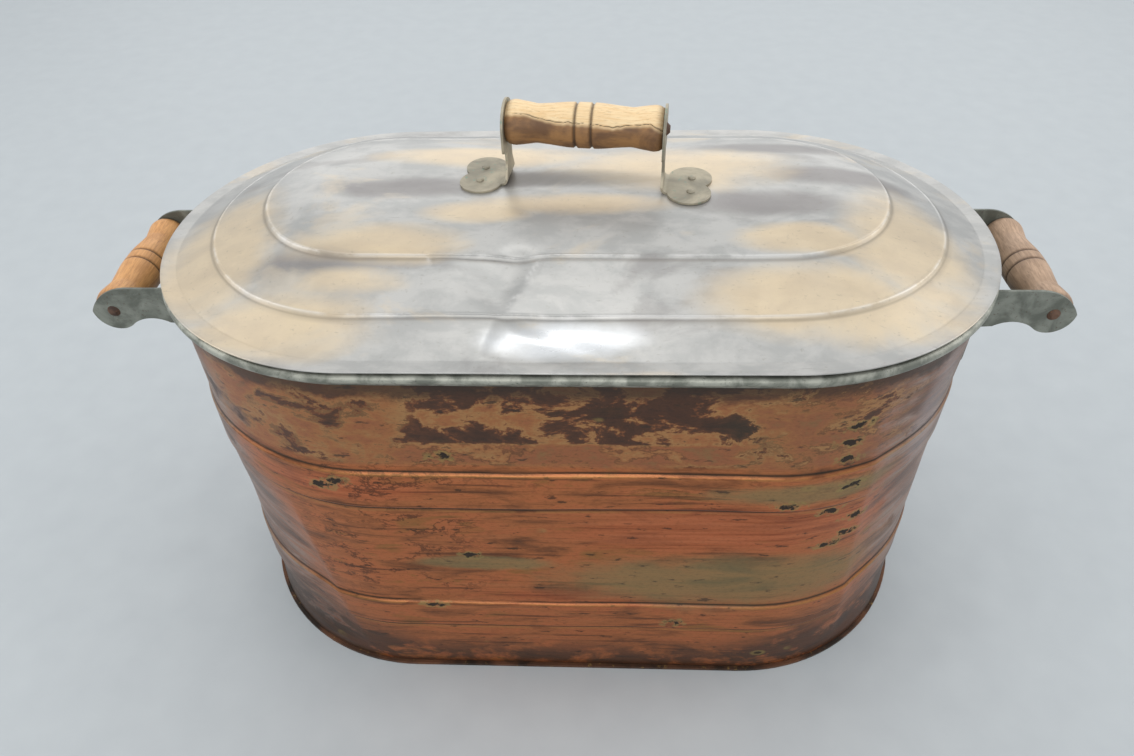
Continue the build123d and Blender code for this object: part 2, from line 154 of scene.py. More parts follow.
class Finish:
    """One procedural material, built a step at a time."""

    def __init__(self, name, metallic, roughness):
        self.material = bpy.data.materials.new(name)
        self.material.use_nodes = True
        self.nodes = self.material.node_tree.nodes
        self.links = self.material.node_tree.links
        self.shader = self.nodes["Principled BSDF"]
        self.set(self.shader, "Metallic", metallic)
        self.set(self.shader, "Roughness", roughness)

    def set(self, node, key, value):
        if isinstance(value, bpy.types.NodeSocket):
            self.links.new(value, node.inputs[key])
        else:
            node.inputs[key].default_value = value

    def coordinate(self, kind):
        return self.nodes.new("ShaderNodeTexCoord").outputs[kind]

    def attribute(self, name):
        node = self.nodes.new("ShaderNodeAttribute")
        node.attribute_name = name
        return node.outputs["Fac"]

    def moved(self, vector, scale=(1, 1, 1), turn=(0, 0, 0), shift=(0, 0, 0)):
        node = self.nodes.new("ShaderNodeMapping")
        self.set(node, "Vector", vector)
        self.set(node, "Scale", scale)
        self.set(node, "Rotation", turn)
        self.set(node, "Location", shift)
        return node.outputs[0]

    def noise(self, vector, scale, detail, rough, distortion=0.0):
        node = self.nodes.new("ShaderNodeTexNoise")
        self.set(node, "Vector", vector)
        self.set(node, "Scale", scale)
        self.set(node, "Detail", detail)
        self.set(node, "Roughness", rough)
        self.set(node, "Distortion", distortion)
        return node.outputs[0]

    def cells(self, vector, scale):
        node = self.nodes.new("ShaderNodeTexVoronoi")
        self.set(node, "Vector", vector)
        self.set(node, "Scale", scale)
        return node.outputs["Distance"]

    def parts(self, vector):
        node = self.nodes.new("ShaderNodeSeparateXYZ")
        self.set(node, 0, vector)
        return node.outputs[0], node.outputs[1], node.outputs[2]

    def math(self, operation, a, b=0.0):
        node = self.nodes.new("ShaderNodeMath")
        node.operation = operation
        self.set(node, 0, a)
        self.set(node, 1, b)
        return node.outputs[0]

    def times(self, a, b):
        return self.math("MULTIPLY", a, b)

    def plus(self, a, b):
        return self.math("ADD", a, b)

    def minus(self, a, b):
        return self.math("SUBTRACT", a, b)

    def most(self, a, b):
        return self.math("MAXIMUM", a, b)

    def least(self, a, b):
        return self.math("MINIMUM", a, b)

    def swing(self, noise, amount):
        """A noise about its middle, times amount."""
        return self.times(self.minus(noise, 0.5), amount)

    def ease(self, value, low, high):
        """0 below low and 1 above high, or the other way round when low is the larger."""
        node = self.nodes.new("ShaderNodeMapRange")
        node.interpolation_type = "SMOOTHSTEP"
        turned = low > high
        self.set(node, "Value", value)
        self.set(node, "From Min", high if turned else low)
        self.set(node, "From Max", low if turned else high)
        self.set(node, "To Min", 1.0 if turned else 0.0)
        self.set(node, "To Max", 0.0 if turned else 1.0)
        return node.outputs[0]

    def mix(self, amount, a, b, mode="MIX"):
        node = self.nodes.new("ShaderNodeMix")
        node.data_type = "RGBA"
        node.blend_type = mode
        self.set(node, 0, amount)
        self.set(node, 6, a)
        self.set(node, 7, b)
        return node.outputs[2]

    def ramp(self, value, *stops):
        node = self.nodes.new("ShaderNodeValToRGB")
        self.set(node, "Fac", value)
        elements = node.color_ramp.elements
        while len(elements) < len(stops):
            elements.new(0.5)
        for element, (place, colour) in zip(elements, stops):
            element.position = place
            element.color = colour
        return node.outputs[0]

    def patch(self, u, v, centre, size, ragged, soft):
        """1 inside an ellipse of those half-sizes about centre, easing to 0; ragged shifts its edge."""
        du = self.math("DIVIDE", self.minus(u, centre[0]), size[0])
        dv = self.math("DIVIDE", self.minus(v, centre[1]), size[1])
        squares = self.plus(self.times(du, du), self.times(dv, dv))
        return self.ease(self.plus(squares, ragged), 1.0 + soft, 1.0 - soft)

    def patches(self, u, v, places, ragged):
        """The most of several patches, each given as (centre, half-sizes, softness)."""
        total = 0.0
        for centre, size, soft in places:
            total = self.most(total, self.patch(u, v, centre, size, ragged, soft))
        return total

    def between(self, value, low, high, soft):
        """1 from low to high, with soft ends."""
        return self.times(
            self.ease(value, low - soft, low + soft),
            self.ease(value, high + soft, high - soft),
        )

    def block(self, u, v, low, high, soft_u, soft_v):
        """1 inside a rectangle from low to high, with soft edges."""
        across = self.between(u, low[0], high[0], soft_u)
        return self.times(across, self.between(v, low[1], high[1], soft_v))

    def bump(self, height, distance, strength):
        node = self.nodes.new("ShaderNodeBump")
        self.set(node, "Height", height)
        self.set(node, "Distance", distance)
        self.set(node, "Strength", strength)
        return node.outputs[0]

    def done(self, colour, roughness=None, normal=None, metallic=None):
        self.set(self.shader, "Base Color", colour)
        if roughness is not None:
            self.set(self.shader, "Roughness", roughness)
        if normal is not None:
            self.set(self.shader, "Normal", normal)
        if metallic is not None:
            self.set(self.shader, "Metallic", metallic)
        return self.material


def dress(piece, material):
    """Give a piece one finish, in place of any it had."""
    piece.data.materials.clear()
    piece.data.materials.append(material)


def copper_finish(name, front):
    """Stained copper. U runs round the wall from the middle of the front, V up it, in metres."""
    f = Finish(name, 0.5, 0.45)
    uv = f.coordinate("UV")
    u, v, _ = f.parts(uv)
    tone = f.noise(f.moved(uv, (1, 4, 1)), 13.0, 9.0, 0.62, 0.6)
    grain = f.noise(f.moved(uv, (1, 2.2, 1)), 260.0, 4.0, 0.7)
    lines = f.noise(f.moved(uv, (1, 26, 1)), 8.0, 6.0, 0.6)
    blotch = f.noise(f.moved(uv, (1, 1.6, 1), shift=(7.7, 2.3, 0)), 24.0, 10.0, 0.68, 0.25)
    broad = f.noise(f.moved(uv, (1, 3, 1), shift=(3.1, 1.7, 0)), 4.0, 5.0, 0.55, 0.8)
    colour = f.ramp(
        tone,
        (0.26, rgb("5A3A26")),
        (0.38, rgb("85502F")),
        (0.48, rgb("AE693E")),
        (0.56, rgb("B66A40")),
        (0.64, rgb("9C6638")),
        (0.76, rgb("846238")),
    )
    fine_lines = f.noise(f.moved(uv, (1, 40, 1), shift=(4, 2, 0)), 22.0, 5.0, 0.65)
    colour = f.mix(f.times(f.ease(lines, 0.56, 0.64), 0.65), colour, rgb("50301F"))
    colour = f.mix(f.times(f.ease(fine_lines, 0.56, 0.66), 0.5), colour, rgb("4A2C1C"))
    colour = f.mix(f.times(f.ease(lines, 0.43, 0.34), 0.45), colour, rgb("B8754C"))
    if front:
        upper, stain, olive, veined, ends, shine, red = front_zones(f, u, v, blotch)
    else:
        upper = f.ease(v, 0.246, 0.258)
        stain = f.times(f.ease(broad, 0.46, 0.58), 0.12)
        olive = f.ease(broad, 0.54, 0.66)
        veined = 0.6
        # painted reflection at the two ends of the rear sheet, by the seams, with some mauve grey
        # patches that differ at random
        from_seam = f.least(f.minus(u, SEAM), f.minus(3 * SEAM, u))
        from_seam = f.plus(from_seam, f.swing(blotch, 0.30))
        ends = f.most(f.ease(from_seam, 0.16, 0.06), f.times(f.ease(broad, 0.42, 0.34), 0.6))
        shine = 0.0
        red = f.ease(broad, 0.50, 0.44)
    warm = f.mix(f.ease(lines, 0.40, 0.60), rgb("C46E48"), rgb("A4512F"))
    colour = f.mix(f.times(red, 0.55), colour, warm)
    colour = f.mix(f.times(olive, 0.75), colour, f.mix(tone, rgb("5E5A3C"), rgb("8A7848")))
    # lacquer and tarnish left in islands above the upper band
    island = f.ramp(
        f.minus(blotch, stain),
        (0.34, rgb("2E2018")),
        (0.42, rgb("4A2E1E")),
        (0.445, rgb("7A4A2A")),
        (0.46, rgb("A0784A")),
        (0.52, rgb("98643A")),
        (0.60, rgb("8E5636")),
        (0.70, rgb("80603A")),
    )
    colour = f.mix(f.times(upper, 0.92), colour, island)
    # brown veins that run through the lower half as well
    vein = f.ease(f.math("ABSOLUTE", f.minus(blotch, 0.47)), 0.030, 0.006)
    vein = f.times(vein, f.ease(tone, 0.40, 0.56))
    colour = f.mix(f.times(vein, f.times(veined, 0.8)), colour, rgb("3C2618"))
    spots = f.ease(f.noise(f.moved(uv, (1, 3, 1), shift=(1, 9, 0)), 55.0, 6.0, 0.65), 0.60, 0.66)
    colour = f.mix(f.times(spots, 0.75), colour, rgb("33261B"))
    # painted reflection: the two ends of the wall are a mauve grey
    end_reflection = f.mix(f.ease(tone, 0.38, 0.62), rgb("5C4438"), rgb("9C8A80"))
    end_reflection = f.mix(f.ease(blotch, 0.44, 0.36), end_reflection, rgb("4A3226"))
    colour = f.mix(f.times(ends, f.minus(0.9, f.times(f.ease(lines, 0.46, 0.56), 0.4))), colour, end_reflection)
    # painted reflection: the pale patch at the right end
    colour = f.mix(shine, colour, rgb("C9C6CC"))
    # dark lines and painted highlights along the swages, and painted shade under the rim and by the
    # foot
    dirt_and_shade = f.times(f.attribute("dirt_and_shade"), f.ease(lines, 0.30, 0.46))
    painted_highlight = f.times(f.attribute("painted_highlight"), f.ease(tone, 0.40, 0.52))
    # painted shade: darker towards the foot, most at the lower corners of the front, and just under the
    # rim
    corner = f.ease(f.math("ABSOLUTE", u), 0.10, 0.20) if front else 0.5
    foot_shade = f.plus(f.ease(v, 0.050, 0.012), f.times(corner, f.ease(v, 0.085, 0.030)))
    low = f.least(f.times(foot_shade, f.ease(blotch, 0.34, 0.54)), 1.0)
    top = f.ease(f.plus(v, f.swing(blotch, 0.05)), 0.306, 0.318)
    dark = f.most(f.times(low, 0.85), f.times(top, 0.8))
    # the painted highlight below each band edge, then the painted shade, then the dark lines at the
    # band edges
    colour = f.mix(f.times(painted_highlight, 0.4), colour, rgb("A88046"))
    colour = f.mix(dark, colour, rgb("2E2219"))
    colour = f.mix(f.times(dirt_and_shade, 0.92), colour, rgb("22221A"))
    # pits with an ochre edge
    pit = f.cells(f.moved(uv, (1, 1.8, 1)), 19.0)
    pitted = f.ease(f.noise(uv, 10.0, 2.0, 0.5), 0.52, 0.60)
    ring = f.times(f.ease(pit, 0.15, 0.10), pitted)
    core = f.times(f.ease(pit, 0.085, 0.055), pitted)
    if front:
        ring, core = front_pits(f, u, v, ring, core)
    colour = f.mix(f.times(ring, 0.6), colour, rgb("8C7A44"))
    colour = f.mix(core, colour, rgb("261A10"))
    shade = f.ramp(grain, (0.30, (0.62, 0.62, 0.62, 1)), (0.50, (1, 1, 1, 1)))
    colour = f.mix(0.7, colour, shade, "MULTIPLY")
    inside = f.attribute("inside")
    colour = f.mix(inside, colour, f.mix(f.ease(tone, 0.34, 0.66), rgb("6E655A"), rgb("A8A092")))
    covered = f.most(f.most(upper, dark), f.most(olive, ring))
    roughness = f.plus(f.times(tone, 0.20), f.plus(0.26, f.times(covered, 0.10)))
    roughness = f.plus(roughness, f.times(core, 0.4))
    relief = f.plus(f.times(grain, 0.35), f.plus(f.times(blotch, 0.5), f.times(core, -1.5)))
    normal = f.bump(relief, 0.0006, 0.45)
    metallic = f.times(f.minus(0.62, f.times(covered, 0.35)), f.minus(1.0, core))
    return f.done(colour, roughness, normal, metallic)


def front_zones(f, u, v, blotch):
    """Where the front sheet carries stains, olive, veins, a painted reflection at both ends and a
    painted reflection patch, as the photograph shows.
    """
    ragged = f.swing(blotch, 2.2)
    edge = f.plus(v, f.swing(blotch, 0.012))
    upper = f.ease(edge, 0.247, 0.252)
    plain = f.block(u, v, (-0.110, 0.252), (0.110, 0.270), 0.02, 0.002)
    side = f.plus(u, f.swing(blotch, 0.16))
    stain = f.block(side, edge, (-0.104, 0.270), (0.112, 0.340), 0.012, 0.002)
    stain = f.plus(f.times(stain, 0.075), f.times(plain, -0.08))
    stain = f.plus(stain, f.times(f.ease(u, 0.11, 0.17), -0.05))
    olive = f.patches(u, v, FRONT_OLIVE, ragged)
    left = f.block(u, v, (-0.200, 0.100), (-0.070, 0.250), 0.03, 0.02)
    veined = f.most(f.times(left, 0.9), f.times(f.ease(v, 0.20, 0.26), 0.7))
    # painted reflection: mauve grey at both ends, its edge leaning with height
    lean = f.plus(u, f.times(f.minus(v, 0.1), 0.22))
    lean = f.plus(lean, f.swing(blotch, 0.10))
    ends = f.most(f.ease(lean, -0.185, -0.240), f.ease(lean, 0.225, 0.275))
    # painted reflection: a pale mauve white patch at the right end
    shine = f.times(f.patch(u, v, (0.262, 0.262), (0.020, 0.050), ragged, 0.9), 0.2)
    red = f.patches(u, v, FRONT_RED, ragged)
    return upper, stain, olive, veined, ends, shine, red


# Olive and red zones of the front sheet: centre as (round the wall, height), half-sizes, softness
FRONT_OLIVE = (
    ((0.120, 0.122), (0.130, 0.030), 0.8),
    ((0.165, 0.224), (0.070, 0.010), 0.7),
    ((0.140, 0.290), (0.040, 0.040), 0.8),
    ((-0.062, 0.141), (0.052, 0.008), 0.5),
)
FRONT_RED = (
    ((0.110, 0.185), (0.110, 0.026), 0.9),
    ((-0.160, 0.225), (0.060, 0.012), 0.9),
    ((0.150, 0.275), (0.030, 0.022), 0.9),
    ((0.060, 0.100), (0.120, 0.012), 0.9),
)
# Pits in the front sheet, as (round the wall, height)
FRONT_PITS = (
    (0.187, 0.283),
    (0.184, 0.268),
    (0.185, 0.252),
    (0.193, 0.225),
    (0.149, 0.212),
    (0.182, 0.199),
    (0.205, 0.186),
    (0.203, 0.168),
    (0.188, 0.160),
    (-0.075, 0.150),
    (-0.085, 0.258),
    (-0.172, 0.226),
    (-0.160, 0.232),
    (-0.110, 0.088),
    (0.080, 0.070),
)


def front_pits(f, u, v, ring, core):
    """Adds the pits of the front to the rings and cores there are."""
    rough = f.noise(f.coordinate("UV"), 150.0, 4.0, 0.6)
    ragged = f.swing(rough, 10.0)
    for place in FRONT_PITS:
        ring = f.most(ring, f.patch(u, v, place, (0.0100, 0.0042), ragged, 0.6))
        core = f.most(core, f.patch(u, v, place, (0.0062, 0.0025), ragged, 0.5))
    return ring, core


# Warm and grey clouds of the lid's tin, as (x, y) and half-sizes, and how softly they end; one grey
# cloud is a painted shadow under the handle
CLOUD_SOFT = 0.9
LID_TAN = (
    ((-0.131, -0.069), (0.055, 0.016)),
    ((-0.185, -0.125), (0.060, 0.028)),
    ((-0.245, -0.060), (0.045, 0.060)),
    ((-0.064, -0.040), (0.034, 0.012)),
    ((-0.060, 0.040), (0.070, 0.016)),
    ((-0.150, -0.100), (0.040, 0.010)),
    ((0.175, -0.112), (0.075, 0.024)),
    ((0.225, -0.060), (0.040, 0.050)),
    ((0.150, -0.066), (0.040, 0.012)),
    ((0.070, 0.020), (0.070, 0.030)),
    ((0.000, -0.030), (0.060, 0.012)),
)
LID_GREY = (
    ((-0.125, -0.008), (0.055, 0.014)),
    ((-0.160, -0.082), (0.060, 0.012)),
    ((0.130, -0.028), (0.050, 0.015)),
    ((0.190, 0.010), (0.050, 0.012)),
    # painted shadow under the handle
    ((-0.024, 0.002), (0.050, 0.010)),
    ((0.150, 0.055), (0.060, 0.010)),
)


def lid_finish():
    """Worn tin, with its warm and grey clouds, painted highlights and painted shade along its ridges
    and creases, painted shadow under the handle, and one painted highlight at the front.
    """
    f = Finish("lid_tin", 0.5, 0.4)
    place = f.coordinate("Object")
    x, y, _ = f.parts(place)
    cloud = f.noise(f.moved(place, (1, 1.8, 1)), 10.0, 7.0, 0.6, 0.5)
    haze = f.noise(f.moved(place, (1, 1.7, 1), shift=(2, 5, 1)), 30.0, 7.0, 0.62, 0.3)
    fine = f.noise(place, 260.0, 4.0, 0.7)
    ragged = f.swing(cloud, 3.2)
    tan = f.times(f.ease(cloud, 0.56, 0.66), 0.4)
    grey = f.times(f.ease(cloud, 0.44, 0.34), 0.5)
    for centre, size in LID_TAN:
        tan = f.most(tan, f.patch(x, y, centre, size, ragged, CLOUD_SOFT))
    for centre, size in LID_GREY:
        grey = f.most(grey, f.patch(x, y, centre, size, ragged, CLOUD_SOFT))
    colour = f.mix(f.ease(haze, 0.38, 0.62), rgb("ABAAA6"), rgb("BCBAB5"))
    colour = f.mix(f.times(grey, 0.85), colour, f.mix(haze, rgb("7C7674"), rgb("96928E")))
    colour = f.mix(f.times(tan, 0.8), colour, f.mix(haze, rgb("C8B49A"), rgb("E8D2AA")))
    # painted shade: a dark line just below each ridge step
    colour = f.mix(f.times(f.attribute("dirt_and_shade"), 0.45), colour, rgb("6A6258"))
    scratch = f.noise(f.moved(place, (1, 6, 1), turn=(0, 0, 0.5)), 90.0, 4.0, 0.7)
    colour = f.mix(f.times(f.ease(scratch, 0.62, 0.72), 0.25), colour, rgb("6E675C"))
    # painted highlight along the ridges and creases
    painted_glint = f.times(f.attribute("painted_highlight"), f.ease(haze, 0.42, 0.56))
    colour = f.mix(f.times(painted_glint, 0.42), colour, rgb("E8E6E2"))
    colour = f.mix(f.times(f.ease(fine, 0.60, 0.72), 0.3), colour, rgb("8A8272"))
    shadow = f.patch(x, y, (0.006, 0.004), (0.050, 0.012), ragged, CLOUD_SOFT)
    colour = f.mix(f.times(shadow, 0.45), colour, rgb("5C5648"))
    # painted highlight at the front, where the tin is also a little smoother
    polish_and_highlight = f.patch(x, y, (-0.004, -0.137), (0.042, 0.011), ragged, CLOUD_SOFT)
    colour = f.mix(f.times(polish_and_highlight, 0.55), colour, rgb("E6E9EC"))
    roughness = f.minus(f.plus(0.32, f.times(haze, 0.14)), f.times(polish_and_highlight, 0.12))
    normal = f.bump(f.plus(fine, f.times(haze, 0.6)), 0.00015, 0.4)
    return f.done(colour, roughness, normal)


def tin_finish(name, base, tan, shade, metallic, rough):
    """Worn tinned sheet: soft tan patches and greyer clouds."""
    f = Finish(name, metallic, rough)
    place = f.coordinate("Object")
    cloud = f.noise(f.moved(place, (1, 1.6, 1)), 9.0, 4.0, 0.5, 0.8)
    patchy = f.noise(f.moved(place, (1, 1.5, 1), shift=(2, 5, 1)), 6.0, 5.0, 0.55, 0.9)
    colour = f.mix(f.ease(cloud, 0.40, 0.62), rgb(shade), rgb(base))
    colour = f.mix(f.times(f.ease(patchy, 0.50, 0.62), 0.7), colour, rgb(tan))
    return f.done(colour, f.plus(rough - 0.08, f.times(patchy, 0.22)))


def dull_metal(name, light, dark, fleck, metallic, rough, scale=60.0):
    """Dull metal with darker clouds and specks of a third colour."""
    f = Finish(name, metallic, rough)
    place = f.coordinate("Object")
    cloud = f.noise(place, scale * 0.5, 5.0, 0.6, 0.5)
    speck = f.noise(place, scale * 4, 6.0, 0.7)
    colour = f.mix(f.ease(cloud, 0.36, 0.64), rgb(dark), rgb(light))
    colour = f.mix(f.times(f.ease(speck, 0.58, 0.68), 0.7), colour, rgb(fleck))
    roughness = f.plus(rough - 0.05, f.times(cloud, 0.2))
    return f.done(colour, roughness, f.bump(speck, 0.0002, 0.4))


def wood_finish(name, light, middle, dark, brown_and_shade, turn, dry=0.0):
    """Turned wood with its grain along the grip. turn lays the grip's axis along X."""
    f = Finish(name, 0.0, 0.5)
    place = f.moved(f.coordinate("Object"), turn=(0, 0, turn))
    grain = f.noise(f.moved(place, (6, 110, 110)), 5.0, 7.0, 0.62, 0.3)
    pore = f.noise(f.moved(place, (16, 400, 400)), 4.0, 4.0, 0.6)
    cloud = f.noise(f.moved(place, (24, 40, 40)), 1.6, 5.0, 0.6, 0.4)
    colour = f.ramp(grain, (0.30, rgb(middle)), (0.60, rgb(light)))
    colour = f.mix(f.times(f.ease(cloud, 0.46, 0.66), 0.55), colour, rgb(middle))
    # brown wood and painted shade, where the grip's attribute asks for it
    stain_and_shade = f.mix(f.ease(cloud, 0.36, 0.62), rgb(brown_and_shade), rgb(dark))
    colour = f.mix(f.attribute("brown_and_shade"), colour, stain_and_shade)
    colour = f.mix(f.times(f.ease(pore, 0.56, 0.68), 0.35), colour, rgb(dark))
    # darker at the ends, in the grooves and in the crack
    colour = f.mix(f.attribute("dirt_and_shade"), colour, rgb("33241A"))
    roughness = f.plus(0.40 + dry, f.times(pore, 0.2))
    return f.done(colour, roughness, f.bump(f.plus(grain, pore), 0.0002, 0.35))


def closed(piece):
    """Merge the points of a mesh that lie on each other, and turn its faces outwards."""
    work = bmesh.new()
    work.from_mesh(piece.data)
    bmesh.ops.remove_doubles(work, verts=work.verts, dist=0.005 * MM)
    if work.calc_volume(signed=True) < 0:
        bmesh.ops.reverse_faces(work, faces=work.faces)
    work.to_mesh(piece.data)
    work.free()


def mark(piece, name, values):
    """Store a number for each point, for the materials to read."""
    layer = piece.data.attributes.new(name, "FLOAT", "POINT")
    layer.data.foreach_set("value", np.asarray(values, dtype=np.float32).ravel())


def padded(values, width):
    """The values with zeros after them, up to width in each row."""
    return np.concatenate([values, np.zeros((len(values), width - values.shape[1]))], 1)


# The copper wall: front and rear sheets, dented and creased. First the steps of their grid, then how
# far below a band's edge the painted highlight lies
WALL_COLUMN = 2.9 * MM
ROW = 3 * MM
HIGHLIGHT_DROP = 2.6 * MM
BAND_EDGES = [edge for band in BANDS for edge in band]


def swage(z):
    """How far the bands stand out at height z."""
    rise = np.zeros_like(z)
    for low, high in BANDS:
        rise += smooth(z, low, low + SWAGE_SHOULDER) - smooth(z, high - SWAGE_SHOULDER, high)
    return rise * SWAGE_RISE


def swage_line(z):
    """1 along the edges of both bands."""
    line = np.zeros_like(z)
    for edge in BAND_EDGES:
        line = np.maximum(line, bell(z - edge, 1.2 * MM))
    return line


# Folds in the front sheet, where a dent starts: two ends as (round the wall, height), the side that
# is pushed in, how far off the dent is deepest, and how deep it is
WALL_FOLDS = (
    ((-0.209, 0.185), (-0.176, 0.012), -1, 0.034, 0.0042),
    ((0.206, 0.262), (0.224, 0.012), 1, 0.036, 0.0036),
)
# Shallow dents: place, half-size, depth
WALL_DENTS = (
    ((0.150, 0.165), (0.070, 0.050), 0.0012),
    ((-0.060, 0.150), (0.090, 0.040), 0.0012),
    ((-0.215, 0.270), (0.040, 0.030), 0.0016),
    ((0.010, 0.290), (0.110, 0.030), 0.0010),
)


def along_and_across(s, z, start, end):
    """How far each place is along the line from start to end, 0 to 1, and off it, in metres."""
    start, end = np.array(start), np.array(end)
    run = end - start
    length = np.linalg.norm(run)
    along = ((s - start[0]) * run[0] + (z - start[1]) * run[1]) / length**2
    across = ((s - start[0]) * run[1] - (z - start[1]) * run[0]) / length
    return along, across


def fold_depth(s, z, start, end, side, width, depth):
    """A push inwards that starts sharply at the line from start to end, on one side of it."""
    along, across = along_and_across(s, z, start, end)
    away = np.maximum(-across * side, 0) / width
    return depth * away * np.exp(1 - away) * smooth(along, -0.15, 0.2) * (1 - smooth(along, 0.8, 1.15))


def crease_depth(s, z, start, end, width, depth):
    """A narrow groove along the line from start to end."""
    along, across = along_and_across(s, z, start, end)
    return depth * bell(across, width) * smooth(along, -0.1, 0.15) * (1 - smooth(along, 0.85, 1.1))


def dent_depth(s, z, place, size, depth):
    """A shallow dent of those half-sizes about place."""
    return depth * bell(np.hypot((s - place[0]) / size[0], (z - place[1]) / size[1]), 1)


def wall_sheet(name, first, last, front):
    """The copper sheet from first to last round the oval; only the front one has folds and dents."""
    columns = np.append(np.arange(first, last, WALL_COLUMN), last)
    low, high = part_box("body_front_sheet")[0][2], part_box("body_front_sheet")[1][2]
    plain = np.arange(low, high, ROW)
    close = np.concatenate([np.arange(edge - 5 * MM, edge + 5 * MM, 0.6 * MM) for edge in BAND_EDGES])
    heights = np.unique(np.round(np.append(np.append(plain, close), high), 5))
    s, z = np.meshgrid(columns, heights, indexing="ij")
    x, y = oval(s, np.full_like(s, WALL))
    spots = np.stack([x, y, z], -1)
    wander = wobble(spots * [1, 1, 0], 0.16, 5) * 0.5 * MM
    shift = swage(z + wander) + wobble(spots, 0.11, 2) * 0.25 * MM + wobble(spots, 0.035, 3) * 0.06 * MM
    hold = smooth(z, low, low + 0.02) * (1 - smooth(z, high - 0.03, high))
    if front:
        for fold in WALL_FOLDS:
            shift -= hold * fold_depth(s, z, *fold)
        for dent in WALL_DENTS:
            shift -= hold * dent_depth(s, z, *dent)
    shift = shift * np.minimum(hold + 0.15, 1)
    outer = np.stack([*oval(s, WALL + shift), z], -1)
    inner = np.stack([*oval(s, WALL + shift - SHEET), z], -1)[:, ::-1]
    grid = np.concatenate([outer, inner], 1)
    uv = np.stack([s, z], -1)
    uv = np.concatenate([uv, uv[:, ::-1]], 1)
    piece = mesh_of(name, grid, uv, wrap_v=True, caps=True)
    mark(piece, "inside", np.concatenate([np.zeros_like(s), np.ones_like(s)], 1))
    # dark lines along the band edges, and a painted highlight a little below each edge
    for layer, drop in (("dirt_and_shade", 0.0), ("painted_highlight", HIGHLIGHT_DROP)):
        mark(piece, layer, padded(swage_line(z + wander + drop), grid.shape[1]))
    return piece


# The lid: domed, with two raised steps, dented. Distances are from its centre line
RIDGES = (82.2 * MM, 122.6 * MM)
BORDER = 151 * MM
CROWN_DROP = 7.8 * MM
LID_RAMP = (
    (82.6 * MM, LID_TOP - CROWN_DROP),
    (83.6 * MM, LID_TOP - 9.4 * MM),
    (122.9 * MM, LID_EDGE + 13.2 * MM),
    (123.9 * MM, LID_EDGE + 11.7 * MM),
    (BORDER, LID_EDGE),
    (LID_RADIUS, LID_EDGE),
)
CROWN_LEVEL = 25 * MM
# Where the lid's edge stands a little off the rim: height, place round the oval, reach
LIFT = 1.1 * MM
LIFT_PLACE = 0.20
LIFT_REACH = 0.13
# Where the lid is kept flat for the handle's feet, along x: the middle between the two places, and how
# far each is from it
FLAT_MIDDLE = 0.006
FLAT_AWAY = 0.075
# Creases: two ends as (x, y), width, depth. Folds and dents are listed as the wall's are
LID_CREASES = (
    ((-0.091, -0.079), (-0.089, -0.088), 0.0015, 0.0005),
    ((0.145, -0.070), (0.149, -0.084), 0.003, 0.0004),
    ((0.120, -0.100), (0.113, -0.128), 0.004, 0.0003),
    ((-0.018, -0.084), (-0.030, -0.100), 0.0012, 0.0006),
)
LID_FOLDS = (
    ((-0.020, -0.085), (-0.040, -0.122), -1, 0.010, 0.0024),
    ((-0.044, -0.122), (-0.054, -0.146), 1, 0.016, 0.0016),
    ((-0.070, -0.081), (-0.030, -0.083), -1, 0.008, 0.0010),
)
LID_DENTS = (
    ((-0.031, -0.081), (0.013, 0.005), 0.0018),
    ((-0.010, -0.132), (0.030, 0.012), 0.0016),
    ((0.020, -0.136), (0.040, 0.010), 0.0010),
    ((-0.120, -0.010), (0.045, 0.030), 0.0016),
    ((0.130, -0.020), (0.050, 0.030), 0.0014),
    ((0.040, 0.060), (0.060, 0.025), 0.0012),
    ((-0.200, -0.080), (0.030, 0.040), 0.0012),
)


def lid_height(r):
    """Height of the undented lid at r, its corners eased by averaging a few places beside it."""
    knots = np.array(LID_RAMP)
    height = np.zeros_like(r)
    offsets = np.linspace(-0.6, 0.6, 5) * MM
    for offset in offsets:
        at = np.abs(r + offset)
        fall = (np.maximum(at - CROWN_LEVEL, 0) / (knots[0, 0] - CROWN_LEVEL)) ** 2
        ramp = np.interp(at, knots[:, 0], knots[:, 1])
        height += np.where(at < knots[0, 0], LID_TOP - CROWN_DROP * fall, ramp)
    height /= len(offsets)
    for ridge in RIDGES:
        height += 0.45 * MM * bell(r - ridge, 1.0 * MM)
    return height


def lid_dents(x, y, spots):
    """How far the dented sheet stands off its true shape, everywhere but under the handle's feet."""
    dents = wobble(spots, 0.10, 12) * 0.35 * MM + wobble(spots, 0.04, 13) * 0.10 * MM
    for crease in LID_CREASES:
        dents -= crease_depth(x, y, *crease)
    for fold in LID_FOLDS:
        dents -= fold_depth(x, y, *fold)
    for dent in LID_DENTS:
        dents -= dent_depth(x, y, *dent)
    flat = bell(np.abs(x - FLAT_MIDDLE) - FLAT_AWAY, 0.03) * bell(y, 0.05)
    return dents * (1 - np.clip(flat, 0, 1))


def lid_grid():
    """Columns round the oval, alike at front and rear, and rows out from its centre line."""
    close = [np.arange(r - 3 * MM, r + 4 * MM, 0.5 * MM) for r in (*RIDGES, BORDER)]
    radii = np.unique(np.round(np.concatenate([np.arange(0, LID_RADIUS, ROW), *close]), 5))
    radii = radii[radii < LID_RADIUS - HEM]
    straight = np.linspace(-STRAIGHT, STRAIGHT, 145)
    end = np.linspace(STRAIGHT, STRAIGHT + pi * WALL, 100)[1:-1]
    columns = np.concatenate([straight, end, straight + PERIMETER / 2, end + PERIMETER / 2])
    return columns, radii


